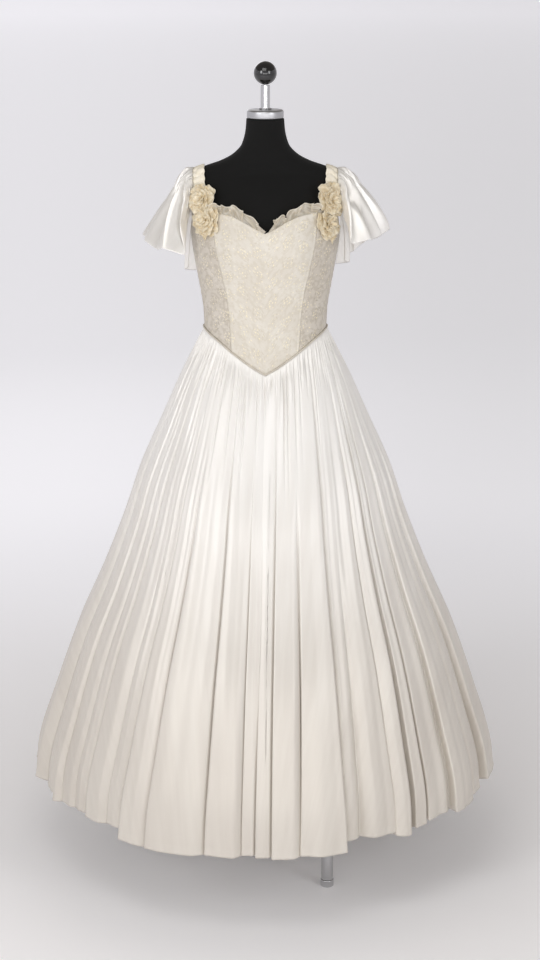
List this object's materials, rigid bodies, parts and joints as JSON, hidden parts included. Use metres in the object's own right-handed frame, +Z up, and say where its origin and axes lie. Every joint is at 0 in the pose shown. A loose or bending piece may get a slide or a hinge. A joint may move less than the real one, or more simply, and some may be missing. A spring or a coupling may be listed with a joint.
{
  "type": "ball gown on dress form",
  "caption": "Floor-length ivory ball gown with a pointed brocade bodice, flutter sleeves, organza trim and a full gathered satin skirt, on a limbless dress form with a three-legged stand.",
  "frame": {"origin": "on the floor at the axis of the stand's pole, in the middle of the skirt's outline", "axes": "+Z up, the gown's front towards -Y, the right side of the picture towards +X"},
  "size_m": [1.0336, 1.0338, 1.7665],
  "materials": {
    "brocade": "champagne ivory brocade with a small metallic floral weave",
    "satin": "ivory duchess satin, soft sheen",
    "shirred_cloth": "cream shirred brocade and covered cord",
    "organza": "champagne organza, semi-sheer",
    "form_cover": "black jersey cover",
    "gloss_black": "polished black",
    "brushed_steel": "brushed, satin",
    "chrome": "polished",
    "black_rubber": "matt"
  },
  "bodies": {
    "root": {"bodice_front_centre": "brocade", "bodice_front_side_left": "brocade", "bodice_front_side_right": "brocade", "bodice_back_left": "brocade", "bodice_back_right": "brocade", "waist_piping_front": "shirred_cloth", "waist_piping_back": "shirred_cloth", "strap_left": "shirred_cloth", "strap_right": "shirred_cloth", "sleeve_left": "satin", "sleeve_right": "satin", "skirt_front": "satin", "skirt_back": "satin", "neck_ruffle_left": "organza", "neck_ruffle_right": "organza", "rosette_upper_left": "organza", "rosette_lower_left": "organza", "rosette_upper_right": "organza", "rosette_lower_right": "organza", "form_torso": "form_cover", "neck_cap": "brushed_steel", "top_rod": "chrome", "ball_finial": "gloss_black", "pole": "chrome", "hub": "black_rubber", "leg_1": "chrome", "foot_tip_1": "chrome", "leg_2": "chrome", "foot_tip_2": "chrome", "leg_3": "chrome", "foot_tip_3": "chrome"}
  },
  "joints": []
}
